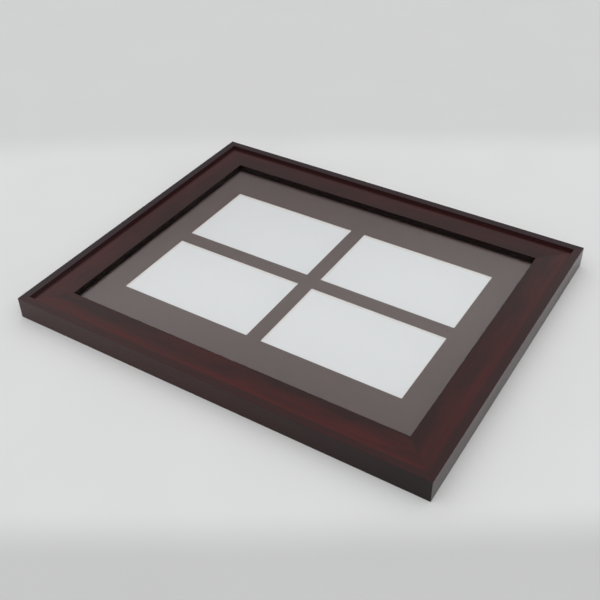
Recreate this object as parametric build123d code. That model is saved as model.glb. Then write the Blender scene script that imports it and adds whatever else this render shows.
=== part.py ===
from build123d import *
import os
from math import asin, degrees

# Wall and table picture frame with a mat that has four windows for landscape photos.
# It lies face up. The origin is the middle of the frame, on the surface that it lies on.
# +X runs along the long rails, +Y points to the top rail, and +Z up out of the glass.
# All lengths are in millimetres.

# Photo cards, how far the mat laps over each edge of a card, and the gaps between the cards
card_length = 152.4
card_width = 101.6
card_lap_ends = 6.25
card_lap_sides = 6.75
card_gap_columns = 2.4
card_gap_rows = 2.5

# Border of the mat that shows between the windows and the rails
border_ends = 27.275
border_sides = 40.425
window_bevel = 1.4

# Moulding: its face from the outer wall to the inner edge, the raised lip, the wood over the
# glass, the rabbet that holds the picture stack, and the recess and outer leg behind
face_width = 35.7
lip_width = 7.5
lip_height = 3.4
sight_wall = 4.5
rabbet_width = 5.0
leg_thickness = 8.0
back_recess = 5.8
lip_edge_radius = 0.3
sight_edge_radius = 0.2
foot_edge_radius = 0.3

# Sheets of the picture stack, from the glass down to the back, with narrow strips round the
# edge that hold the glass clear of the mat
glass_thickness = 2.0
spacer_height = 2.2
spacer_width = 3.0
mat_thickness = 1.4
card_thickness = 0.3
filler_thickness = 0.5
backing_thickness = 2.0

# The stack lies in the middle of the rabbet, with this much play on each side
stack_play = 1.8

# Turn buttons: flat oval plates that swing on a screw beside the rabbet
button_width = 9.0
button_thickness = 1.0
button_arm = 16.0
button_tail = 4.5
button_setback = 7.0
button_running_gap = 0.05
button_rib_width = 3.0
button_rib_height = 0.4
button_rib_margin = 1.5
button_rib_inset = 3.0
button_column_share = 0.24

# Round-headed wood screws with a cross recess, the same for buttons and hangers
screw_shank_radius = 1.4
screw_head_radius = 2.8
screw_head_height = 1.5
screw_edge_radius = 0.5
screw_depth = 7.0
recess_length = 2.8
recess_width = 0.6
recess_depth = 0.7

# Hanger straps, folded from a strip, and the D rings that swing in their rolled end
strap_width = 10.0
strap_leaf = 0.7
strap_length = 18.0
strap_corner_radius = 3.0
strap_screw_place = 12.0
strap_hole_gap = 0.1
ring_wire_radius = 0.8
ring_running_gap = 0.05
ring_width = 14.0
ring_reach = 10.0
ring_corner_radius = 1.6
ring_table_gap = 0.3
hanger_height_share = 1 / 3

# V nails: thin angled plates pressed into the back across each mitre
nail_arm = 5.0
nail_thickness = 0.5
nail_depth = 6.5
nail_places_share = (0.25, 0.7)

# Cutters run past the material by this much
overrun = 1.0

# Windows at the mat's top face, and the opening that shows the mat between the rails
window_length = card_length - 2 * card_lap_ends
window_width = card_width - 2 * card_lap_sides
window_x = (card_length + card_gap_columns) / 2
window_y = (card_width + card_gap_rows) / 2
sight_length = 2 * (window_x + window_length / 2 + border_ends)
sight_width = 2 * (window_y + window_width / 2 + border_sides)

# Other sizes that follow from the ones above
outer_length = sight_length + 2 * face_width
outer_width = sight_width + 2 * face_width
ledge_z = back_recess
backing_top_z = ledge_z + backing_thickness
filler_top_z = backing_top_z + filler_thickness
card_top_z = filler_top_z + card_thickness
mat_top_z = card_top_z + mat_thickness
glass_bottom_z = mat_top_z + spacer_height
glass_top_z = glass_bottom_z + glass_thickness
face_z = glass_top_z + sight_wall
rail_height = face_z + lip_height
stack_length = sight_length + 2 * (rabbet_width - stack_play)
stack_width = sight_width + 2 * (rabbet_width - stack_play)
ledge_inner = face_width - rabbet_width
button_top_z = ledge_z - button_running_gap
button_head_z = button_top_z - button_thickness - button_running_gap
button_line = ledge_inner - button_setback
strap_line = (leg_thickness + ledge_inner) / 2
strap_face_z = ledge_z - 2 * strap_leaf
curl_bore_radius = ring_wire_radius + ring_running_gap
curl_radius = curl_bore_radius + strap_leaf
curl_z = ledge_z - curl_radius
hanger_y = outer_width / 2 - hanger_height_share * outer_width
ring_droop = degrees(asin((curl_z - ring_wire_radius - ring_table_gap) / ring_reach))


def corner_near(section, place):
    """The corner of a flat section that lies nearest to a place."""
    return min(section.vertices(), key=lambda corner: (corner.center() - Vector(*place)).length)


def moulding_section():
    """Section of the moulding: across from the outer wall, and up from the table."""
    outline = Polyline(
        (0, 0),
        (leg_thickness, 0),
        (leg_thickness, ledge_z),
        (ledge_inner, ledge_z),
        (ledge_inner, glass_top_z),
        (face_width, glass_top_z),
        (face_width, face_z),
        (lip_width, face_z),
        (lip_width, rail_height),
        (0, rail_height),
        close=True,
    )
    section = make_face(outline)
    rounded = (
        ((0, 0), foot_edge_radius),
        ((0, rail_height), lip_edge_radius),
        ((lip_width, rail_height), lip_edge_radius),
        ((face_width, face_z), sight_edge_radius),
    )
    for place, radius in rounded:
        section = fillet(corner_near(section, place), radius)
    return section


def rail(length, half_span, quarter_turns):
    """One rail with mitred ends, made on the -Y side and turned to its own side."""
    across = Plane(origin=(-length / 2, -half_span, 0), x_dir=(0, 1, 0), z_dir=(1, 0, 0))
    bar = extrude(across * moulding_section(), amount=length)
    mitred = Polyline(
        (-length / 2, -half_span),
        (length / 2, -half_span),
        (length / 2 - face_width, face_width - half_span),
        (face_width - length / 2, face_width - half_span),
        close=True,
    )
    bar = bar & extrude(make_face(mitred), amount=rail_height)
    return Rot(0, 0, 90 * quarter_turns) * bar


def v_nails():
    """Two angled plates in each corner, with their fold on the mitre line."""
    outline = Polyline(
        (0, 0),
        (-nail_arm, 0),
        (-nail_arm, -nail_thickness),
        (-nail_thickness, -nail_thickness),
        (-nail_thickness, -nail_arm),
        (0, -nail_arm),
        close=True,
    )
    plate = extrude(make_face(outline), amount=nail_depth)
    nails = []
    for share in nail_places_share:
        inward = leg_thickness + share * (ledge_inner - leg_thickness)
        x, y = outer_length / 2 - inward, outer_width / 2 - inward
        corner = Pos(x, y, ledge_z) * plate
        across = mirror(corner, about=Plane.YZ)
        nails += [corner, across, mirror(corner, about=Plane.XZ), mirror(across, about=Plane.XZ)]
    return nails


def sheet(thickness, top_z):
    """A plain sheet of the picture stack."""
    return Pos(0, 0, top_z - thickness / 2) * Box(stack_length, stack_width, thickness)


def spacer_strips():
    """Four strips round the edge of the mat, two the full length and two between them."""
    middle_z = mat_top_z + spacer_height / 2
    side_length = stack_width - 2 * spacer_width
    along = Pos(0, (stack_width - spacer_width) / 2, middle_z) * Box(stack_length, spacer_width, spacer_height)
    across = Pos((stack_length - spacer_width) / 2, 0, middle_z) * Box(spacer_width, side_length, spacer_height)
    return [along, mirror(along, about=Plane.XZ), across, mirror(across, about=Plane.YZ)]


def window_centres():
    """The middles of the four windows, keyed by their place on the mat."""
    return {
        "top_left": (-window_x, window_y),
        "top_right": (window_x, window_y),
        "bottom_left": (-window_x, -window_y),
        "bottom_right": (window_x, -window_y),
    }


def window_cutter():
    """A tapered block that cuts a window with sloping edges, widest at the mat's top face."""
    slope = window_bevel / mat_thickness
    above, below = overrun * slope, (mat_thickness + overrun) * slope
    wide = Rectangle(window_length + 2 * above, window_width + 2 * above)
    narrow = Rectangle(window_length - 2 * below, window_width - 2 * below)
    top = Pos(0, 0, mat_top_z + overrun) * wide
    bottom = Pos(0, 0, card_top_z - overrun) * narrow
    return loft([bottom.face(), top.face()])


def mat_board():
    """The dark mat with its four bevelled windows."""
    mat = sheet(mat_thickness, mat_top_z)
    cutter = window_cutter()
    for x, y in window_centres().values():
        mat = mat - Pos(x, y, 0) * cutter
    return mat


def photo_card(centre):
    """A blank photo card behind one window."""
    middle_z = card_top_z - card_thickness / 2
    return Pos(*centre, middle_z) * Box(card_length, card_width, card_thickness)


def screw(head_z):
    """A screw that points up, with the seat of its head at head_z and its axis on Z."""
    head = Cylinder(screw_head_radius, screw_head_height, align=(Align.CENTER, Align.CENTER, Align.MAX))
    head = fillet(head.edges().group_by(Axis.Z)[0], screw_edge_radius)
    tip_z = ledge_z + screw_depth
    upright = (Align.CENTER, Align.CENTER, Align.MIN)
    shank = Cylinder(screw_shank_radius, tip_z - head_z, align=upright)
    slot = Pos(0, 0, -screw_head_height) * Box(recess_length, recess_width, 2 * recess_depth)
    return Pos(0, 0, head_z) * (head + shank - slot - Rot(0, 0, 90) * slot)


def button_places():
    """Where each turn button pivots, and the way that its arm points, in degrees."""
    column = button_column_share * outer_length
    row = outer_width / 2 - button_line
    side = outer_length / 2 - button_line
    return {
        "top_left": (-column, row, -90),
        "top_right": (column, row, -90),
        "bottom_left": (-column, -row, 90),
        "bottom_right": (column, -row, 90),
        "left": (-side, 0, 0),
        "right": (side, 0, 180),
    }


def turn_button(x, y, heading):
    """An oval plate that laps over the back, with a pressed rib to push it by."""
    length = button_arm + button_tail
    slide = (button_arm - button_tail) / 2
    plate = extrude(Pos(slide, 0) * SlotOverall(length, button_width), amount=-button_thickness)
    rib_start, rib_end = screw_head_radius + button_rib_margin, button_arm - button_rib_inset
    rib_middle = Pos((rib_start + rib_end) / 2, 0, -button_thickness)
    rib = extrude(rib_middle * SlotOverall(rib_end - rib_start, button_rib_width), amount=-button_rib_height)
    hole = Cylinder(screw_shank_radius + button_running_gap, 2 * button_thickness + overrun)
    return Pos(x, y, button_top_z) * Rot(0, 0, heading) * (plate + rib - hole)


def hanger_x(side):
    """The middle line of the hanger on one side rail, -1 for the left and 1 for the right."""
    return side * (outer_length / 2 - strap_line)


def hanger_strap(side):
    """Two leaves of strip pressed together, with a rolled end that holds the ring's bar."""
    leaves = Pos(0, -strap_length / 2, -strap_leaf) * Box(strap_width, strap_length, 2 * strap_leaf)
    leaves = fillet(leaves.edges().filter_by(Axis.Z).group_by(Axis.Y)[0], strap_corner_radius)
    along = Pos(0, 0, -curl_radius) * Rot(0, 90, 0)
    strap = leaves + along * Cylinder(curl_radius, strap_width)
    strap = strap - along * Cylinder(curl_bore_radius, strap_width + overrun)
    hole_radius = screw_shank_radius + strap_hole_gap
    strap = strap - Pos(0, -strap_screw_place) * Cylinder(hole_radius, 2 * curl_radius + overrun)
    return Pos(hanger_x(side), hanger_y, ledge_z) * strap


def ring_outline():
    """Middle line of the D ring's wire, flat, with its straight bar on the hinge axis."""
    half, corner = ring_width / 2, ring_corner_radius
    side_top = ring_reach - half
    bar = Line((corner - half, 0), (half - corner, 0))
    right_corner = CenterArc((half - corner, corner), corner, -90, 90)
    right_side = Line((half, corner), (half, side_top))
    bow = CenterArc((0, side_top), half, 0, 180)
    left_side = Line((-half, side_top), (-half, corner))
    left_corner = CenterArc((corner - half, corner), corner, 180, 90)
    return [bar, right_corner, right_side, bow, left_side, left_corner]


def hanger_ring(side):
    """A D ring that hangs from its bar until its tip is just clear of the table."""
    ring = None
    for run in ring_outline():
        start = Plane(origin=run @ 0, z_dir=run % 0)
        wire = sweep(start * Circle(ring_wire_radius), path=run)
        ring = wire if ring is None else ring + wire
    return Pos(hanger_x(side), hanger_y, curl_z) * Rot(-ring_droop, 0, 0) * ring


def all_nodes():
    """Every piece of the frame, keyed by its name."""
    nails = v_nails()
    button_screws = [Pos(x, y, 0) * screw(button_head_z) for x, y, heading in button_places().values()]
    strap_screw_y = hanger_y - strap_screw_place
    hanger_screws = [Pos(hanger_x(side), strap_screw_y, 0) * screw(strap_face_z) for side in (-1, 1)]
    nodes = {
        "rail_bottom": rail(outer_length, outer_width / 2, 0),
        "rail_right": rail(outer_width, outer_length / 2, 1),
        "rail_top": rail(outer_length, outer_width / 2, 2),
        "rail_left": rail(outer_width, outer_length / 2, 3),
    }
    for name in nodes:
        for fastener in nails + button_screws + hanger_screws:
            nodes[name] = nodes[name] - fastener
    nodes["v_nails"] = Compound(children=nails)
    nodes["glass_pane"] = sheet(glass_thickness, glass_top_z)
    nodes["glass_spacers"] = Compound(children=spacer_strips())
    nodes["mat_board"] = mat_board()
    for place, centre in window_centres().items():
        nodes["photo_card_" + place] = photo_card(centre)
    nodes["filler_sheet"] = sheet(filler_thickness, filler_top_z)
    nodes["backing_board"] = sheet(backing_thickness, backing_top_z)
    for place, spot in button_places().items():
        nodes["turn_button_" + place] = turn_button(*spot)
    nodes["turn_button_screws"] = Compound(children=button_screws)
    for place, side in (("left", -1), ("right", 1)):
        nodes["hanger_strap_" + place] = hanger_strap(side)
        nodes["hanger_ring_" + place] = hanger_ring(side)
    nodes["hanger_screws"] = Compound(children=hanger_screws)
    return nodes


os.makedirs("parts", exist_ok=True)
for node_name, node in all_nodes().items():
    export_step(node, "parts/" + node_name + ".step")

print("opening between the rails", sight_length, sight_width)
print("outer size", outer_length, outer_width, rail_height)
print("ledge height", ledge_z, "ring droop in degrees", ring_droop)
print("ring hinge height", curl_z, "place", hanger_x(1), hanger_y)
for place, spot in button_places().items():
    print("turn button", place, "pivot and heading", spot)
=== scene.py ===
# %% [markdown]
# This lesson dresses a collage picture frame that lies face up on a pale table. The frame is a
# dark red-brown wooden moulding with a raised square lip, a sheet of glass, a dark mat with four
# windows, and blank photo cards behind them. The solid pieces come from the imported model, so
# every piece below starts from their places, and nothing is measured twice.

import math
from collections import namedtuple

import bmesh
import bpy
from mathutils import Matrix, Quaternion, Vector


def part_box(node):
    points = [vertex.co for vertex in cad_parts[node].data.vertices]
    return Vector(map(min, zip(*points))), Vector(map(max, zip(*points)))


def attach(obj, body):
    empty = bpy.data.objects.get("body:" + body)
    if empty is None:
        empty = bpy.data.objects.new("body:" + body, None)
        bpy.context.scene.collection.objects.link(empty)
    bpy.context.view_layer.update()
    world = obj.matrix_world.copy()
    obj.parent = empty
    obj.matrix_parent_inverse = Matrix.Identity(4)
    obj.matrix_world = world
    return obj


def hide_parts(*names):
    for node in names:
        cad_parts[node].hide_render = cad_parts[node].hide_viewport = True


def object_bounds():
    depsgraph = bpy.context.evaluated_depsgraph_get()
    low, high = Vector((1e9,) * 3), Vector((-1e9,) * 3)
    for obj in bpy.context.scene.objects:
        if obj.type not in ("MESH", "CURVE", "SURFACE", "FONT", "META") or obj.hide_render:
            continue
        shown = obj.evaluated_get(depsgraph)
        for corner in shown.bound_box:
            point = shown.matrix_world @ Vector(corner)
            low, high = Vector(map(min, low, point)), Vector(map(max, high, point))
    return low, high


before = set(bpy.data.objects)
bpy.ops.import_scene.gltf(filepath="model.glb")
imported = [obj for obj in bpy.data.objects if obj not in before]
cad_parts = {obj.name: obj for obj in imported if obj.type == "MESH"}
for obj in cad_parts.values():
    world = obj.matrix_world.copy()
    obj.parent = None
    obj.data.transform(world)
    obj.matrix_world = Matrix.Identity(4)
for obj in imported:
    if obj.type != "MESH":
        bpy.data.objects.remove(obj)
cad_low, cad_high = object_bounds()
MM = 0.001
print("CAD box in mm:", [round(value / MM, 2) for value in (*cad_low, *cad_high)])

# %% [markdown]
# The photograph was taken from in front, to the right and above. Its straight edges give the
# camera: every edge of the moulding and of the four windows is a line whose real place is known,
# and one camera makes them all fall where the photograph has them. A rotation typed as three
# angles is hard to read, so the camera gets a place, a point on the table that it looks at, and
# a small roll, because the photograph is a little aslant.

# %% Camera
CAMERA_PLACE = Vector((361.65, -589.38, 541.16)) * MM
CAMERA_AIM = Vector((-0.11, -17.17, 0.0)) * MM
CAMERA_ROLL = math.radians(-0.856)
SENSOR_WIDTH = 36.0
LENS = 54.496
IMAGE_SIDE = 600

camera_data = bpy.data.cameras.new("camera")
camera_data.sensor_width = SENSOR_WIDTH
camera_data.lens = LENS
camera = bpy.data.objects.new("camera", camera_data)
bpy.context.scene.collection.objects.link(camera)
bpy.context.scene.camera = camera
camera.location = CAMERA_PLACE
camera.rotation_mode = "QUATERNION"
look = (CAMERA_AIM - CAMERA_PLACE).to_track_quat("-Z", "Y")
camera.rotation_quaternion = look @ Quaternion((0, 0, 1), CAMERA_ROLL)
bpy.context.view_layer.update()


def seen_at(point):
    """Pixel of the square photograph where a point in space shows."""
    local = camera.matrix_world.inverted() @ Vector(point)
    scale = LENS / SENSOR_WIDTH * IMAGE_SIDE / -local.z
    return round(IMAGE_SIDE / 2 + local.x * scale, 1), round(IMAGE_SIDE / 2 - local.y * scale, 1)


for corner_x in (cad_low.x, cad_high.x):
    for corner_y in (cad_low.y, cad_high.y):
        print("top corner seen at", seen_at((corner_x, corner_y, cad_high.z)))

# %% [markdown]
# The table is a plain pale plane. A solid table would hide the back of the frame, so it has an
# opening that ends a hair inside the outer walls, where no view from above can show it, and its
# lower side lets light pass. A view from below then sees the back, lit like the front. The
# opening leaves nearly all of the moulding's foot free, because the foot lies in the table's own
# plane, and two faces in one plane confuse a path tracer.

# %% Table
TABLE_SIDE = 6.0
TABLE_HOLE_INSET = 0.4 * MM
# In a ring of four corners, the number of the one that comes after each.
FOLLOWING = (1, 2, 3, 0)


def new_mesh_object(name, points, faces):
    """A mesh object from its points and faces."""
    mesh = bpy.data.meshes.new(name)
    mesh.from_pydata(points, [], faces)
    mesh.update()
    made = bpy.data.objects.new(name, mesh)
    bpy.context.scene.collection.objects.link(made)
    return made


def corners_of(low, high):
    """Four corners of a flat rectangle, anticlockwise, from its low and its high corner."""
    return ((low[0], low[1]), (high[0], low[1]), (high[0], high[1]), (low[0], high[1]))


def band(first, second):
    """Four faces between two rings of four points, given by the number of each first point."""
    return [(first + i, first + k, second + k, second + i) for i, k in enumerate(FOLLOWING)]


table_half = TABLE_SIDE / 2
hole = (cad_high.x - TABLE_HOLE_INSET, cad_high.y - TABLE_HOLE_INSET)
table_corners = corners_of((-table_half, -table_half), (table_half, table_half))
hole_corners = corners_of((-hole[0], -hole[1]), hole)
table_points = [(px, py, 0.0) for px, py in table_corners + hole_corners]
table = new_mesh_object("table", table_points, band(0, len(table_corners)))
print("table opening in mm:", [round(2 * half / MM, 1) for half in hole])

# %% [markdown]
# Shader trees are easier to read as short sentences than as long lists of links, so small
# helpers come first. One makes a node and fills its sockets from numbers, colours or other
# sockets, one does a sum, one mixes two colours, and one stretches a value from one range to
# another.

# %% Helpers for shader nodes
# The Mix node has sockets for numbers, vectors and colours. These are its share and its colours.
MIX_SHARE = 0
MIX_FIRST = 6
MIX_SECOND = 7
MIX_RESULT = 2


def plug(tree, socket, value):
    """Fills a socket with a number, a colour or another socket."""
    if isinstance(value, bpy.types.NodeSocket):
        tree.links.new(value, socket)
    elif value is not None:
        socket.default_value = value


def add(tree, kind, **inputs):
    """A new node. Its inputs are given by their names, with _ for a space."""
    made = tree.nodes.new(kind)
    for key, value in inputs.items():
        plug(tree, made.inputs[key.replace("_", " ")], value)
    return made


def sum_of(tree, operation, first, second=None, clamp=False):
    """The result of one Math node."""
    made = tree.nodes.new("ShaderNodeMath")
    made.operation = operation
    made.use_clamp = clamp
    plug(tree, made.inputs[0], first)
    plug(tree, made.inputs[1], second)
    return made.outputs[0]


def mixed(tree, share, first, second, blend="MIX"):
    """Two colours mixed by a share, where 0 is the first one."""
    made = tree.nodes.new("ShaderNodeMix")
    made.data_type = "RGBA"
    made.blend_type = blend
    plug(tree, made.inputs[MIX_SHARE], share)
    plug(tree, made.inputs[MIX_FIRST], first)
    plug(tree, made.inputs[MIX_SECOND], second)
    return made.outputs[MIX_RESULT]


def ramp(tree, value, start, end, low=0.0, high=1.0, smooth=True):
    """value from start to end, mapped to low to high."""
    made = tree.nodes.new("ShaderNodeMapRange")
    made.interpolation_type = "SMOOTHSTEP" if smooth else "LINEAR"
    for index, number in enumerate((value, start, end, low, high)):
        plug(tree, made.inputs[index], number)
    return made.outputs[0]


print("node helpers:", [helper.__name__ for helper in (plug, add, sum_of, mixed, ramp)])

# %% [markdown]
# Every finish below starts alike: one Principled shader, a place in space to work its colour out
# from, a noise that is read at that place, and small dents. A noise rarely comes near 0 or 1, so
# it is stretched between two limits before it mixes anything.

# %% Helpers for finishes
NOISE_LOW = 0.3
NOISE_HIGH = 0.7


def new_material(name, **inputs):
    """A material with one Principled shader, and its node tree and shader."""
    material = bpy.data.materials.new(name)
    material.use_nodes = True
    tree = material.node_tree
    shader = tree.nodes["Principled BSDF"]
    for key, value in inputs.items():
        plug(tree, shader.inputs[key.replace("_", " ")], value)
    return material, tree, shader


def place_in_space(tree):
    """X, Y and Z of the shaded point in the frame's own space, in metres."""
    coordinates = tree.nodes.new("ShaderNodeTexCoord")
    split = tree.nodes.new("ShaderNodeSeparateXYZ")
    tree.links.new(coordinates.outputs["Object"], split.inputs[0])
    return split.outputs


def joined(tree, x, y, z):
    """One vector from three numbers."""
    return add(tree, "ShaderNodeCombineXYZ", X=x, Y=y, Z=z).outputs[0]


def noise(tree, vector, scale, detail=2.0, roughness=0.5):
    """A noise value between 0 and 1."""
    made = add(
        tree, "ShaderNodeTexNoise", Vector=vector, Scale=scale, Detail=detail, Roughness=roughness
    )
    return made.outputs[0]


def dent(tree, shader, height, strength, depth, inward=False):
    """Small dents or bumps on the surface."""
    made = add(tree, "ShaderNodeBump", Strength=strength, Distance=depth, Height=height)
    made.invert = inward
    plug(tree, shader.inputs["Normal"], made.outputs[0])


def clear_where(tree, shader, share, tint=None):
    """Lets light straight through wherever share is 1, and tints it."""
    clear = add(tree, "ShaderNodeBsdfTransparent", Color=tint).outputs[0]
    either = tree.nodes.new("ShaderNodeMixShader")
    for index, value in enumerate((share, shader.outputs[0], clear)):
        plug(tree, either.inputs[index], value)
    tree.links.new(either.outputs[0], tree.nodes["Material Output"].inputs["Surface"])


def set_material(objects, material):
    """Gives each object this one material."""
    for one in objects:
        one.data.materials.clear()
        one.data.materials.append(material)


print("a noise is read between", NOISE_LOW, "and", NOISE_HIGH)

# %% [markdown]
# The table's top is a sheet of matt studio paper. As in the photograph it is lightest round the
# frame and greyer farther off, where the soft light reaches less far, and a little greyer in
# front than behind. A lamp with a falloff would light the frame unevenly too, so the paper
# carries it instead: a light oval, wide across the view and short along it. The oval is measured
# on the table itself, so it stays put when the view changes.

# %% Table surface
TABLE_GREY = 0.705
PAPER_MOTTLE = 0.006
PAPER_ROUGHNESS = 0.85
MOTTLE_SCALE = 9.0
POOL_FACING = math.radians(32.3)
POOL_STRETCH = 5.0
POOL_EDGE = 260 * MM
FRONT_END = 308 * MM
BACK_END = 335 * MM
FRONT_FALL = 0.79
BACK_FALL = 0.888
TURN_WIDTH = 100 * MM


def weighed(tree, first, first_share, second, second_share, operation="ADD"):
    """Two numbers, each times a share, added or subtracted."""
    one = sum_of(tree, "MULTIPLY", first, first_share)
    other = sum_of(tree, "MULTIPLY", second, second_share)
    return sum_of(tree, operation, one, other)


table_paint, tree, shader = new_material("table_paint", Roughness=PAPER_ROUGHNESS)
x, y = place_in_space(tree)[:2]
facing_cos = math.cos(POOL_FACING)
facing_sin = math.sin(POOL_FACING)
deep = weighed(tree, y, facing_cos, x, facing_sin, "SUBTRACT")
sideways = weighed(tree, x, facing_cos / POOL_STRETCH, y, facing_sin / POOL_STRETCH)
squares = [sum_of(tree, "POWER", part, 2.0) for part in (deep, sideways)]
reach = sum_of(tree, "SQRT", sum_of(tree, "ADD", *squares))
end = ramp(tree, deep, -TURN_WIDTH, TURN_WIDTH, FRONT_END, BACK_END)
fall = ramp(tree, deep, -TURN_WIDTH, TURN_WIDTH, FRONT_FALL, BACK_FALL)
pool = ramp(tree, reach, POOL_EDGE, end, 1.0, fall)
mottle = ramp(
    tree, noise(tree, joined(tree, x, y, 0.0), MOTTLE_SCALE), NOISE_LOW, NOISE_HIGH,
    TABLE_GREY - PAPER_MOTTLE, TABLE_GREY + PAPER_MOTTLE,
)
grey = sum_of(tree, "MULTIPLY", mottle, pool)
plug(tree, shader.inputs["Base Color"], joined(tree, grey, grey, grey))
clear_where(tree, shader, tree.nodes.new("ShaderNodeNewGeometry").outputs["Backfacing"])
set_material([table], table_paint)
print("paper grey round the frame:", TABLE_GREY)
print("far in front:", round(TABLE_GREY * FRONT_FALL, 3))
print("far behind:", round(TABLE_GREY * BACK_FALL, 3))

# %% [markdown]
# The photograph has almost no shadow: only a soft grey edge a few centimetres wide where the
# frame meets the table. Lamps would draw hard shadows that are not there, so the light is a tent:
# greyish cloth walls up to about thirty degrees and a brighter ceiling from about forty. The
# glass and the lacquer mirror the tent, and it is what makes them paler towards the near side.
#
# Two more things are set by heading. Towards its four corners the tent is a little darker, up to
# near its top. One corner lies where the glass mirrors it, so the mat changes slowly in tone from
# side to side. The near side of the tent is brighter. No face in the photograph mirrors that
# side, but it lightens the shadow in front of the frame.

# %% Light tent
WALL_LIGHT = 0.47
CEILING_LIGHT = 1.00
WALL_ENDS = math.sin(math.radians(31.0))
CEILING_STARTS = math.sin(math.radians(39.0))
CORNER_HEADING = math.radians(121.5)
CORNER_COUNT = 4.0
CORNER_SHARPNESS = 4.0
CORNER_DIP = 0.15
CORNER_FADES_FROM = 0.75
CORNER_FADES_TO = 0.95
NEAR_SIDE_FROM = 0.6
NEAR_SIDE_TO = -1.0
NEAR_BOOST = 0.6
TENT_TINT = (0.995, 1.0, 1.0, 1.0)
world = bpy.data.worlds.new("light_tent")
world.use_nodes = True
bpy.context.scene.world = world
tent = world.node_tree
direction = tent.nodes.new("ShaderNodeTexCoord").outputs["Generated"]
split = tent.nodes.new("ShaderNodeSeparateXYZ")
tent.links.new(direction, split.inputs[0])
steepness = sum_of(tent, "ABSOLUTE", split.outputs[2])
glow = ramp(tent, steepness, WALL_ENDS, CEILING_STARTS, WALL_LIGHT, CEILING_LIGHT)

heading = sum_of(tent, "ARCTAN2", split.outputs[1], split.outputs[0])
turn = sum_of(tent, "SUBTRACT", heading, CORNER_HEADING)
towards = sum_of(tent, "COSINE", sum_of(tent, "MULTIPLY", turn, CORNER_COUNT))
corner = sum_of(tent, "POWER", ramp(tent, towards, -1.0, 1.0, smooth=False), CORNER_SHARPNESS)
dip = ramp(tent, steepness, CORNER_FADES_FROM, CORNER_FADES_TO, CORNER_DIP, 0.0)
shade = sum_of(tent, "SUBTRACT", 1.0, sum_of(tent, "MULTIPLY", corner, dip))
facing = sum_of(tent, "COSINE", turn)
boost = ramp(tent, facing, NEAR_SIDE_FROM, NEAR_SIDE_TO, 1.0, 1.0 + NEAR_BOOST)
glow = sum_of(tent, "MULTIPLY", sum_of(tent, "MULTIPLY", glow, shade), boost)
cloth = tent.nodes["Background"]
cloth.inputs["Color"].default_value = TENT_TINT
plug(tent, cloth.inputs["Strength"], glow)
bpy.context.scene.view_settings.view_transform = "Standard"
print("tent light:", WALL_LIGHT, "to", CEILING_LIGHT, "and times", 1.0 + NEAR_BOOST, "on one side")

# %% [markdown]
# The moulding is stained wood under a thin satin lacquer. A picture of wood would stretch and
# repeat, so the colour is worked out at each point from its place: how far along the rail it is,
# how far across it from the outer wall, how high, and how far from the line of the mitre. The
# grain runs along each rail, so the long rails and the short rails swap two of these.

# %% Places on a rail
HALF_LENGTH = cad_high.x
HALF_WIDTH = cad_high.y


def wood_places(tree, long_rail):
    """Along the rail, across it from the outer wall, height, and distance from the mitre."""
    x, y, z = place_in_space(tree)
    from_end = sum_of(tree, "SUBTRACT", HALF_LENGTH, sum_of(tree, "ABSOLUTE", x))
    from_side = sum_of(tree, "SUBTRACT", HALF_WIDTH, sum_of(tree, "ABSOLUTE", y))
    along, across, other = (x, from_side, from_end) if long_rail else (y, from_end, from_side)
    return along, across, z, sum_of(tree, "SUBTRACT", other, across)


print("rails meet", round(HALF_LENGTH / MM, 1), "and", round(HALF_WIDTH / MM, 1), "mm out")

# %% [markdown]
# Three noises make the wood, each at its own size: soft cloudy patches as long as a finger, grain
# streaks a millimetre or two wide, and pores, which are short dark dashes. Each is a plain noise
# read at a place that is drawn out along the grain. A seed moves each rail to its own stretch of
# wood.

# %% Grain
PATCHES_ALONG = 17.0
PATCHES_ACROSS = 85.0
STREAKS_ALONG = 30.0
STREAKS_ACROSS = 620.0
STREAK_DETAIL = 3.0
PORES_ALONG = 160.0
PORES_ACROSS = 2600.0
PORE_ROUGHNESS = 0.6


def drawn_out(tree, along, across, height, per_metre_along, per_metre_across):
    """The same place, drawn out along the grain, for a noise to be read at."""
    return joined(
        tree,
        sum_of(tree, "MULTIPLY", along, per_metre_along),
        sum_of(tree, "MULTIPLY", across, per_metre_across),
        sum_of(tree, "MULTIPLY", height, per_metre_across),
    )


def grain(tree, along, across, height):
    """Patches, streaks and pores of the wood, as three noises."""
    place = (tree, along, across, height)
    patches = noise(tree, drawn_out(*place, PATCHES_ALONG, PATCHES_ACROSS), 1.0)
    streaks = noise(tree, drawn_out(*place, STREAKS_ALONG, STREAKS_ACROSS), 1.0, STREAK_DETAIL)
    fine_place = drawn_out(*place, PORES_ALONG, PORES_ACROSS)
    pores = noise(tree, fine_place, 1.0, roughness=PORE_ROUGHNESS)
    return patches, streaks, pores


print("streaks are about", round(1 / STREAKS_ACROSS / MM, 1), "mm wide")

# %% [markdown]
# The stain on the face is reddest near the lip and turns browner towards the inner edge. On the
# near rails it turns in a soft curve, and sooner. On the far rails it turns evenly, and beside
# the lip a darker band is painted shade: it stands in for the lacquer mirroring the dark lip wall
# there. The cloudy patches push the turn to brown a little to and fro. Each rail took the stain
# in its own way, and a small named record holds what differs.

# %% Stain on the face
RAIL_ACROSS = 35.7 * MM
LIP_WIDTH = 7.5 * MM
STAIN_RED = (0.046, 0.0058, 0.0054, 1)
STAIN_BROWN = (0.0205, 0.0042, 0.0034, 1)
# Painted shade beside the lip on the far rails, where the lacquer mirrors the dark lip wall.
PAINTED_SHADE_BESIDE_LIP = (0.0270, 0.0055, 0.0055, 1)
SHADE_BESIDE_LIP_FROM = 2.0 * MM
SHADE_BESIDE_LIP_TO = 7.0 * MM
NEAR_BROWN_BY = 30.0 * MM
BROWN_AT_LIP = -0.02
BROWN_NEAR_RAIL = 0.85
BROWN_FAR_RAIL = 0.95
PATCH_PUSH = 0.30
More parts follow.
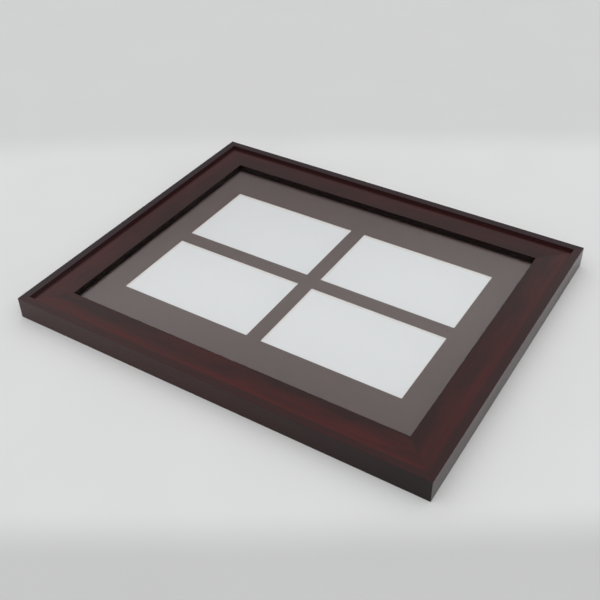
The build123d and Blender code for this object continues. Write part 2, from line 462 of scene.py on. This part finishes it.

# long_rail and near say where the rail lies, and seed picks its stretch of wood. face_red and
# lip_red scale the red of its stains. The next field is the end with a painted sheen, a paler
# film that stands in for the brighter mirror of the lacquer seen from low down: 1 or -1 along
# the rail, or less for a weaker one. The last field paints shade onto the outer wall towards
# the plus end.
RailLook = namedtuple("RailLook", "long_rail near seed face_red lip_red paler_end wall_fades")


def reddened(stain, share):
    """The same stain with its red scaled by a share."""
    return (stain[0] * share, *stain[1:])


def face_stain(tree, look, across, patches):
    """The stain of the face, from the lip to the inner edge, with painted shade beside the lip on
    the far rails.
    """
    red = reddened(STAIN_RED, look.face_red)
    if look.near:
        brown = ramp(tree, across, LIP_WIDTH, NEAR_BROWN_BY, BROWN_AT_LIP, BROWN_NEAR_RAIL)
    else:
        brown = ramp(
            tree, across, LIP_WIDTH, RAIL_ACROSS, BROWN_AT_LIP, BROWN_FAR_RAIL, smooth=False
        )
    push = ramp(tree, patches, NOISE_LOW, NOISE_HIGH, PATCH_PUSH, -PATCH_PUSH)
    face = mixed(tree, sum_of(tree, "ADD", brown, push, clamp=True), red, STAIN_BROWN)
    beside_lip = ramp(tree, across, LIP_WIDTH + SHADE_BESIDE_LIP_FROM, LIP_WIDTH + SHADE_BESIDE_LIP_TO, 1.0, 0.0)
    return mixed(tree, beside_lip, face, red if look.near else PAINTED_SHADE_BESIDE_LIP)


print("face in mm:", round((RAIL_ACROSS - LIP_WIDTH) / MM, 1), "wide beside the lip")

# %% [markdown]
# The lip and the outer wall are darker than the face, and warmer on the near rails than on the
# far ones. On the far rails the lip is also greyer and bluer: a painted haze that stands in for
# the glare of the bright table beside them. The lip's inner wall, down to a hair of the face at
# its foot, is duller and greyer. Towards one end of a rail a paler film is added: a painted
# sheen for the brighter mirror of the lacquer seen from low down there. The outer wall of the
# near long rail has that painted sheen too, and painted shade darkens it to nearly black towards
# its other end. On the other rails the painted sheen stops at the outer wall. Each of these is
# one more mix over the stain so far, so that each can be turned up or down alone.

# %% Stain on the lip, painted sheen and painted shade towards the ends
STAIN_LIP_WARM = (0.024, 0.0052, 0.0050, 1)
# The far rails' lip: stain with a painted haze for the glare of the bright table beside it.
STAIN_LIP_PAINTED_HAZE = (0.024, 0.0068, 0.0098, 1)
STAIN_ROOT = (0.0355, 0.0118, 0.0125, 1)
# Dark stain of the streaks, pores and mitre seams; also painted shade on the inner wall and on the
# near outer wall.
STAIN_DARK_AND_SHADE = (0.0072, 0.0026, 0.0024, 1)
# Painted sheen: a paler film added towards one end of a rail.
PAINTED_SHEEN = (0.0100, 0.0092, 0.0092, 1)
ROOT_LINE = 0.2 * MM
LIP_BLEND_FROM = 0.5 * MM
LIP_BLEND_TO = 0.1 * MM
EDGE_BAND = 0.2 * MM


def with_lip(tree, look, across, stain):
    """The stain with the lip, and with the duller line down its inner wall."""
    root = ramp(tree, across, LIP_WIDTH + ROOT_LINE / 2, LIP_WIDTH + ROOT_LINE, 1.0, 0.0)
    stain = mixed(tree, root, stain, STAIN_ROOT)
    on_lip = ramp(tree, across, LIP_WIDTH - LIP_BLEND_FROM, LIP_WIDTH - LIP_BLEND_TO, 1.0, 0.0)
    # On the far rails the lip colour carries painted haze.
    lip = reddened(STAIN_LIP_WARM if look.near else STAIN_LIP_PAINTED_HAZE, look.lip_red)
    return mixed(tree, on_lip, stain, lip)


def with_ends(tree, look, along, across, stain):
    """The stain with painted sheen towards one end and, where the look says so, painted shade on
    the outer wall.
    """
    half = HALF_LENGTH if look.long_rail else HALF_WIDTH
    # A paler film towards one end is painted sheen.
    towards_end = sum_of(tree, "MULTIPLY", along, look.paler_end)
    sheen_share = ramp(tree, towards_end, 0.0, half, smooth=False)
    # Painted shade: the outer wall darkens to nearly black towards the plus end.
    if look.wall_fades:
        on_wall = sum_of(tree, "LESS_THAN", across, EDGE_BAND)
        towards_shade = ramp(tree, along, 0.0, half, smooth=False)
        darker = sum_of(tree, "MULTIPLY", on_wall, towards_shade)
        stain = mixed(tree, darker, stain, STAIN_DARK_AND_SHADE)
    else:
        off_wall = sum_of(tree, "GREATER_THAN", across, EDGE_BAND)
        sheen_share = sum_of(tree, "MULTIPLY", sheen_share, off_wall)
    return mixed(tree, sheen_share, stain, PAINTED_SHEEN, "ADD")


print("lip in mm:", round(LIP_WIDTH / MM, 1), "line at its foot:", round(ROOT_LINE / MM, 1))

# %% [markdown]
# The inner wall above the glass is painted nearly black: painted shade for that narrow wall
# between the face and the glass. The fine seams of the mitres are nearly black too. The back of
# the rails had only one thin coat of stain and no lacquer, so it is lighter and dull. Each is
# told by its place: the back lies inside the leg and below the ledge that holds the back board,
# or right at the foot.

# %% Inner wall, mitres and back
FACE_HEIGHT = 18.7 * MM
MITRE_SEAM = 0.25 * MM
SEAM_SHARE = 0.7
LEG_WIDTH = 8.0 * MM
BACK_LEDGE = 5.8 * MM
FOOT_BAND = 0.4 * MM
STAIN_BACK = (0.060, 0.022, 0.013, 1)
BACK_STREAKS = 0.6


def both(tree, first, second):
    """1 where two conditions both hold."""
    return sum_of(tree, "MULTIPLY", first, second)


def with_dark_lines(tree, across, height, mitre, stain):
    """The stain with painted shade on the inner wall, and the seams of the mitres nearly black."""
    inner_wall = both(
        tree, sum_of(tree, "GREATER_THAN", across, RAIL_ACROSS - EDGE_BAND / 2),
        sum_of(tree, "LESS_THAN", height, FACE_HEIGHT - EDGE_BAND),
    )
    stain = mixed(tree, inner_wall, stain, STAIN_DARK_AND_SHADE)
    seam = ramp(tree, sum_of(tree, "ABSOLUTE", mitre), 0.0, MITRE_SEAM, SEAM_SHARE, 0.0)
    return mixed(tree, seam, stain, STAIN_DARK_AND_SHADE)


def bare_wood(tree, across, height):
    """1 on the back of a rail, and 0 on its lacquered side."""
    under = both(
        tree, sum_of(tree, "GREATER_THAN", across, LEG_WIDTH - FOOT_BAND),
        sum_of(tree, "LESS_THAN", height, BACK_LEDGE + FOOT_BAND),
    )
    return sum_of(tree, "MAXIMUM", under, sum_of(tree, "LESS_THAN", height, FOOT_BAND / 2))


def back_stain(tree, streaks):
    """One thin coat of stain, which shows the streaks."""
    return mixed(
        tree, ramp(tree, streaks, NOISE_LOW, NOISE_HIGH, 0.0, BACK_STREAKS), STAIN_BACK, STAIN_BROWN
    )


print("back is bare up to", round((BACK_LEDGE + FOOT_BAND) / MM, 1), "mm inside the leg")

# %% [markdown]
# Now the parts of the finish go over each other: face, lip, ends, streaks, dark lines, bare back
# and pores. The lacquer is thin and satin. A low index keeps its mirror weak, and a trace of
# sheen gives the faint haze that it has when seen from low down. The pores dent it a little. One
# function makes all four rails, and a short table of looks says where they differ.

# %% Lacquered wood
STREAKS_FROM = 0.35
STREAK_SHARE = 0.18
PORES_FROM = 0.58
PORES_TO = 0.8
PORE_SHARE = 0.35
PORE_BUMP = 0.2
PORE_DEPTH = 0.02 * MM
LACQUER_IOR = 1.315
HAZE_WEIGHT = 0.04
HAZE_ROUGHNESS = 0.4
SATIN_FROM = 0.2
SATIN_TO = 0.8
SATIN_SMOOTH = 0.22
SATIN_ROUGH = 0.28
BARE_ROUGHER = 0.4


def stained_wood(name, look):
    """Dark red-brown wood with its grain along the rail."""
    material, tree, shader = new_material(
        name, IOR=LACQUER_IOR, Sheen_Weight=HAZE_WEIGHT, Sheen_Roughness=HAZE_ROUGHNESS
    )
    along, across, height, mitre = wood_places(tree, look.long_rail)
    seeded = sum_of(tree, "ADD", along, look.seed)
    patches, streaks, pores = grain(tree, seeded, across, height)
    stain = with_lip(tree, look, across, face_stain(tree, look, across, patches))
    stain = with_ends(tree, look, along, across, stain)
    streaked = ramp(tree, streaks, STREAKS_FROM, NOISE_HIGH, 0.0, STREAK_SHARE)
    stain = mixed(tree, streaked, stain, STAIN_DARK_AND_SHADE)
    stain = with_dark_lines(tree, across, height, mitre, stain)
    bare = bare_wood(tree, across, height)
    stain = mixed(tree, bare, stain, back_stain(tree, streaks))
    porous = ramp(tree, pores, PORES_FROM, PORES_TO, 0.0, PORE_SHARE)
    plug(tree, shader.inputs["Base Color"], mixed(tree, porous, stain, STAIN_DARK_AND_SHADE))

    satin = ramp(tree, patches, SATIN_FROM, SATIN_TO, SATIN_SMOOTH, SATIN_ROUGH)
    dull = sum_of(tree, "MULTIPLY", bare, BARE_ROUGHER)
    plug(tree, shader.inputs["Roughness"], sum_of(tree, "ADD", satin, dull))
    dent(tree, shader, pores, PORE_BUMP, PORE_DEPTH, inward=True)
    return material


RAIL_LOOKS = {
    "rail_top": RailLook(
        long_rail=True, near=False, seed=0.0, face_red=0.82, lip_red=0.78, paler_end=0.0,
        wall_fades=False,
    ),
    "rail_bottom": RailLook(
        long_rail=True, near=True, seed=3.1, face_red=1.32, lip_red=1.22, paler_end=-1.0,
        wall_fades=True,
    ),
    "rail_left": RailLook(
        long_rail=False, near=False, seed=7.3, face_red=1.04, lip_red=0.66, paler_end=-1.0,
        wall_fades=False,
    ),
    "rail_right": RailLook(
        long_rail=False, near=True, seed=11.9, face_red=1.06, lip_red=1.05, paler_end=0.9,
        wall_fades=False,
    ),
}
for rail_name, rail_look in RAIL_LOOKS.items():
    set_material([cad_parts[rail_name]], stained_wood("stained_" + rail_name, rail_look))
print("rails stained:", len(RAIL_LOOKS))

# %% [markdown]
# The glass is a real sheet with two faces, so it mirrors the room twice and lifts the mat a
# little, as it does in the photograph. The CAD box would do, but its faces lie in the same planes
# as the wood and the strips, which confuses a path tracer, and its edges are sharp. So this sheet
# stands a hair clear of both, and its cut edges are ground, which a small bevel shows. Glass
# would block the light of the tent, so shadow rays pass through it with a slight tint.

# %% Glass sheet
HAIR = 0.02 * MM
GROUND_EDGE = 0.25 * MM
GROUND_STEPS = 2
BEVEL_ROUND = 0.5
GLASS_TINT = (0.992, 1.0, 0.995, 1)
GLASS_PASS = (0.975, 0.978, 0.975, 1)
GLASS_IOR = 1.46
BOX_ENDS = [(3, 2, 1, 0), (4, 5, 6, 7)]


def slab(name, low, high):
    """A closed box between two corners."""
    points = [(px, py, pz) for pz in (low[2], high[2]) for px, py in corners_of(low, high)]
    return new_mesh_object(name, points, BOX_ENDS + band(0, len(points) // 2))


def soften(piece, width):
    """Bevels every edge of a piece by a small width."""
    work = bmesh.new()
    work.from_mesh(piece.data)
    bmesh.ops.bevel(
        work, geom=work.edges[:], offset=width, segments=GROUND_STEPS, affect="EDGES",
        profile=BEVEL_ROUND,
    )
    work.to_mesh(piece.data)
    work.free()


glass_low, glass_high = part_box("glass_pane")
clearance = Vector((0, 0, HAIR))
glass = slab("glass_sheet", glass_low + clearance, glass_high - clearance)
soften(glass, GROUND_EDGE)
clear_glass, tree, shader = new_material(
    "clear_glass", Base_Color=GLASS_TINT, Roughness=0.0, IOR=GLASS_IOR, Transmission_Weight=1.0
)
shadow_ray = tree.nodes.new("ShaderNodeLightPath").outputs["Is Shadow Ray"]
clear_where(tree, shader, shadow_ray, GLASS_PASS)
set_material([glass], clear_glass)
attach(glass, "frame")
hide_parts("glass_pane")
print("glass sheet in mm:", [round(size / MM, 2) for size in glass.dimensions])

# %% [markdown]
# A mat board is a white core with a sheet of dark paper on top. The cutter slopes, so each window
# shows a narrow white bevel inside a dark edge. Two solids for paper and core would share a face,
# so it is drawn as one mesh: each window is a stack of rectangles, one at the top of the paper,
# one at its underside and one at the bottom of the core, and the strips between them are paper or
# core. The slope is 45 degrees, so a rectangle shrinks by as much as it lies deeper.

# %% Window openings
PAPER_THICKNESS = 0.18 * MM
WINDOW_LENGTH = 139.9 * MM
WINDOW_WIDTH = 88.1 * MM
mat_low, mat_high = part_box("mat_board")
window_middles = []
for place in ("top_left", "top_right", "bottom_left", "bottom_right"):
    low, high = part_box("photo_card_" + place)
    window_middles.append((low + high) / 2)


def window_rings(middle):
    """Three rectangles of one window: top face, under the paper, bottom of the core."""
    rings = []
    for depth in (HAIR, PAPER_THICKNESS, mat_high.z - mat_low.z):
        half = Vector((WINDOW_LENGTH / 2 - depth, WINDOW_WIDTH / 2 - depth, 0))
        flat = corners_of(middle - half, middle + half)
        rings.append([(px, py, mat_high.z - depth) for px, py in flat])
    return rings


middles_in_mm = [[round(value / MM, 1) for value in middle.xy] for middle in window_middles]
print("window middles in mm:", middles_in_mm)

# %% [markdown]
# The outline of the mat is one more stack of three rectangles, so windows and outline are built
# alike. A mesh face can't have holes, so the top and the bottom of the mat are filled in with
# triangles between the outline and the four windows.

# %% Mat board
PAPER = 0
CORE = 1
TOP_RING = 0
BOTTOM_RING = 2


def mat_mesh():
    """The mat: its outline, its four windows, and the strips of each bevel."""
    work = bmesh.new()
    outline = corners_of(mat_low, mat_high)
    levels = (mat_high.z - HAIR, mat_high.z - PAPER_THICKNESS, mat_low.z)
    outer_rings = [[(px, py, level) for px, py in outline] for level in levels]
    stacks = []
    for rings in [outer_rings] + [window_rings(middle) for middle in window_middles]:
        stacks.append([[work.verts.new(point) for point in ring] for ring in rings])
    for top, middle, bottom in stacks:
        for upper, lower, layer in ((top, middle, PAPER), (middle, bottom, CORE)):
            for i, k in enumerate(FOLLOWING):
                face = work.faces.new((upper[i], upper[k], lower[k], lower[i]))
                face.material_index = layer
    for ring, layer in ((TOP_RING, PAPER), (BOTTOM_RING, CORE)):
        edges = []
        for stack in stacks:
            loop = stack[ring]
            edges += [work.edges.get((loop[i], loop[k])) for i, k in enumerate(FOLLOWING)]
        filled = bmesh.ops.triangle_fill(work, use_beauty=True, edges=edges)
        for face in [item for item in filled["geom"] if isinstance(item, bmesh.types.BMFace)]:
            face.material_index = layer
    bmesh.ops.recalc_face_normals(work, faces=work.faces[:])
    mesh = bpy.data.meshes.new("mat_layers")
    work.to_mesh(mesh)
    work.free()
    return mesh


mat = bpy.data.objects.new("mat_layers", mat_mesh())
bpy.context.scene.collection.objects.link(mat)
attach(mat, "frame")
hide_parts("mat_board")
print("mat faces:", len(mat.data.polygons), "windows:", len(window_middles))

# %% [markdown]
# The mat's paper is a dark grey-brown with fine fibres in a deeper shade and faint clouds, and it
# is quite matt. Both are noises and not a picture, so they hold up close as well. The fibres
# also stand up a little.

# %% Mat paper
MAT_BROWN = (0.0665, 0.034, 0.0316, 1)
MAT_BROWN_DEEP = (0.0515, 0.027, 0.0245, 1)
MAT_ROUGHNESS = 0.85
MAT_IOR = 1.4
MAT_FIBRES = 1600.0
MAT_FIBRE_DETAIL = 4.0
MAT_FIBRE_ROUGHNESS = 0.7
MAT_FIBRES_FROM = 0.35
MAT_FIBRES_TO = 0.75
MAT_CLOUDS = 14.0
MAT_CLOUD_SHARE = 0.3
MAT_BUMP = 0.3
MAT_BUMP_DEPTH = 0.05 * MM
mat_paper, tree, shader = new_material("mat_paper", Roughness=MAT_ROUGHNESS, IOR=MAT_IOR)
x, y = place_in_space(tree)[:2]
flat_place = joined(tree, x, y, 0.0)
fibres = noise(tree, flat_place, MAT_FIBRES, MAT_FIBRE_DETAIL, MAT_FIBRE_ROUGHNESS)
fibre_share = ramp(tree, fibres, MAT_FIBRES_FROM, MAT_FIBRES_TO)
clouds = noise(tree, flat_place, MAT_CLOUDS)
cloud_share = ramp(tree, clouds, NOISE_LOW, NOISE_HIGH, 0.0, MAT_CLOUD_SHARE)
paper = mixed(tree, fibre_share, MAT_BROWN, MAT_BROWN_DEEP)
plug(tree, shader.inputs["Base Color"], mixed(tree, cloud_share, paper, MAT_BROWN_DEEP))
dent(tree, shader, fibres, MAT_BUMP, MAT_BUMP_DEPTH)
mat.data.materials.append(mat_paper)
print("mat clouds are about", round(1 / MAT_CLOUDS / MM), "mm wide")

# %% [markdown]
# The core is off-white pulp, soft and a little uneven, and it shows only as the narrow bevel of
# each window. It is the second finish of the same mesh: a face's material_index says which one
# it takes.

# %% Mat core
CORE_WHITE = (0.70, 0.67, 0.66, 1)
CORE_CREAM = (0.65, 0.61, 0.60, 1)
CORE_ROUGHNESS = 0.9
CORE_FLUFF = 2500.0
CORE_DETAIL = 3.0
mat_core, tree, shader = new_material("mat_core", Roughness=CORE_ROUGHNESS, IOR=MAT_IOR)
x, y, z = place_in_space(tree)
fluff = noise(tree, joined(tree, x, y, z), CORE_FLUFF, CORE_DETAIL)
fluff_share = ramp(tree, fluff, NOISE_LOW, NOISE_HIGH)
plug(tree, shader.inputs["Base Color"], mixed(tree, fluff_share, CORE_WHITE, CORE_CREAM))
mat.data.materials.append(mat_core)
print("mat finishes:", [material.name for material in mat.data.materials])

# %% [markdown]
# The photo cards are blank: smooth white card with a trace of tooth. A single flat white would
# look like a hole in the mat, so the tooth shows in the colour as well as in small dents.

# %% Photo cards
CARD_WHITE = (0.727, 0.731, 0.747, 1)
CARD_SHADE = (0.703, 0.707, 0.723, 1)
CARD_ROUGHNESS = 0.6
CARD_IOR = 1.4
CARD_TOOTH = 900.0
CARD_DETAIL = 3.0
CARD_BUMP = 0.15
CARD_BUMP_DEPTH = 0.02 * MM
card_white, tree, shader = new_material("card_white", Roughness=CARD_ROUGHNESS, IOR=CARD_IOR)
x, y = place_in_space(tree)[:2]
tooth = noise(tree, joined(tree, x, y, 0.0), CARD_TOOTH, CARD_DETAIL)
tooth_share = ramp(tree, tooth, NOISE_LOW, NOISE_HIGH)
plug(tree, shader.inputs["Base Color"], mixed(tree, tooth_share, CARD_WHITE, CARD_SHADE))
dent(tree, shader, tooth, CARD_BUMP, CARD_BUMP_DEPTH)
cards = [node for name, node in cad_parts.items() if name.startswith("photo_card")]
set_material(cards, card_white)
print("cards:", len(cards))

# %% [markdown]
# Between the mat and the glass run four black strips, so that photos never stick to the glass.
# They are extruded plastic: dull, with fine lines along their length. They hide under the edge
# of the wood, and only make the gap below the glass look dark, so their mirror is very weak.

# %% Spacer strips
STRIP_BLACK = (0.0060, 0.0032, 0.0027, 1)
STRIP_GREY = (0.0105, 0.0062, 0.0055, 1)
STRIP_IOR = 1.22
STRIP_FLATTENED = 6.0
STRIP_LINES = 700.0
LINES_FROM = 0.35
STRIP_SMOOTH = 0.55
STRIP_ROUGH = 0.7
STRIP_BUMP = 0.2
STRIP_BUMP_DEPTH = 0.03 * MM
strip_plastic, tree, shader = new_material("strip_plastic", IOR=STRIP_IOR)
x, y, z = place_in_space(tree)
flattened = joined(tree, x, y, sum_of(tree, "MULTIPLY", z, STRIP_FLATTENED))
lines = noise(tree, flattened, STRIP_LINES)
line_share = ramp(tree, lines, LINES_FROM, NOISE_HIGH)
plug(tree, shader.inputs["Base Color"], mixed(tree, line_share, STRIP_BLACK, STRIP_GREY))
strip_finish = ramp(tree, lines, NOISE_LOW, NOISE_HIGH, STRIP_SMOOTH, STRIP_ROUGH)
plug(tree, shader.inputs["Roughness"], strip_finish)
dent(tree, shader, lines, STRIP_BUMP, STRIP_BUMP_DEPTH)
set_material([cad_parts["glass_spacers"]], strip_plastic)
print("strip finish:", STRIP_SMOOTH, "to", STRIP_ROUGH)

# %% [markdown]
# The filler sheet is grey-brown card, and the back is hardboard: smooth and brown. Both are
# pressed fibres, so one function makes them: short specks, with larger clouds over them.

# %% Filler and back
BOARD_IOR = 1.45
SPECK_DETAIL = 5.0
SPECK_ROUGHNESS = 0.75
SPECKS_FROM = 0.35
CLOUD_SIZE = 40
CLOUD_SHARE = 0.35
BOARD_BUMP = 0.35
BOARD_BUMP_DEPTH = 0.06 * MM


def fibre_board(name, light, dark, specks_per_metre, roughness):
    """A board of pressed fibres in two shades."""
    material, tree, shader = new_material(name, Roughness=roughness, IOR=BOARD_IOR)
    x, y, z = place_in_space(tree)
    place = joined(tree, x, y, z)
    specks = noise(tree, place, specks_per_metre, SPECK_DETAIL, SPECK_ROUGHNESS)
    clouds = noise(tree, place, specks_per_metre / CLOUD_SIZE)
    shade = mixed(tree, ramp(tree, specks, SPECKS_FROM, NOISE_HIGH), light, dark)
    cloudy = ramp(tree, clouds, NOISE_LOW, NOISE_HIGH, 0.0, CLOUD_SHARE)
    plug(tree, shader.inputs["Base Color"], mixed(tree, cloudy, shade, dark))
    dent(tree, shader, specks, BOARD_BUMP, BOARD_BUMP_DEPTH)
    return material


FILLER_LIGHT = (0.36, 0.32, 0.26, 1)
FILLER_DARK = (0.26, 0.22, 0.17, 1)
FILLER_SPECKS = 900.0
FILLER_ROUGHNESS = 0.85
grey_card = fibre_board(
    "grey_card", FILLER_LIGHT, FILLER_DARK, FILLER_SPECKS, FILLER_ROUGHNESS
)
HARDBOARD_LIGHT = (0.20, 0.105, 0.052, 1)
HARDBOARD_DARK = (0.11, 0.055, 0.028, 1)
HARDBOARD_SPECKS = 700.0
HARDBOARD_ROUGHNESS = 0.55
hardboard = fibre_board(
    "hardboard", HARDBOARD_LIGHT, HARDBOARD_DARK, HARDBOARD_SPECKS, HARDBOARD_ROUGHNESS
)
set_material([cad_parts["filler_sheet"]], grey_card)
set_material([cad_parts["backing_board"]], hardboard)
print("boards:", grey_card.name, hardboard.name)

# %% [markdown]
# The small steel parts are plated: a soft grey metal with cloudy patches and fine scratches. The
# turn buttons and their screws are zinc, the hangers nickel, which is smoother, and the nails in
# the mitres are plain bright strip.

# %% Plated steel
DARKER_SHARE = 0.8
PLATE_CLOUDS = 350.0
PLATE_CLOUD_DETAIL = 3.0
PLATE_GRIT = 4000.0
PLATE_FROM = 0.2
PLATE_TO = 0.8
PLATE_ROUGHER = 0.15
PLATE_BUMP = 0.15
PLATE_BUMP_DEPTH = 0.02 * MM


def plated_steel(name, shade, smoothest):
    """Metal with cloudy plating and fine scratches."""
    material, tree, shader = new_material(name, Metallic=1.0)
    x, y, z = place_in_space(tree)
    place = joined(tree, x, y, z)
    clouds = noise(tree, place, PLATE_CLOUDS, PLATE_CLOUD_DETAIL)
    grit = noise(tree, place, PLATE_GRIT)
    darker = (*(DARKER_SHARE * value for value in shade[:3]), 1)
    cloudy = ramp(tree, clouds, NOISE_LOW, NOISE_HIGH)
    plug(tree, shader.inputs["Base Color"], mixed(tree, cloudy, shade, darker))
    roughest = smoothest + PLATE_ROUGHER
    finish = ramp(tree, clouds, PLATE_FROM, PLATE_TO, smoothest, roughest)
    plug(tree, shader.inputs["Roughness"], finish)
    dent(tree, shader, grit, PLATE_BUMP, PLATE_BUMP_DEPTH)
    return material


# What the names of its pieces start with, then the name of the metal, its shade and the
# roughness where it is smoothest.
METALS = (
    ("turn_button", "zinc_plate", (0.62, 0.60, 0.55, 1), 0.28),
    ("hanger", "nickel_plate", (0.68, 0.66, 0.62, 1), 0.16),
    ("v_nails", "bright_strip", (0.45, 0.45, 0.46, 1), 0.35),
)
for start, metal_name, shade, smoothest in METALS:
    pieces = [node for name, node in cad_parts.items() if name.startswith(start)]
    set_material(pieces, plated_steel(metal_name, shade, smoothest))
    print(metal_name, "on", len(pieces), "pieces")
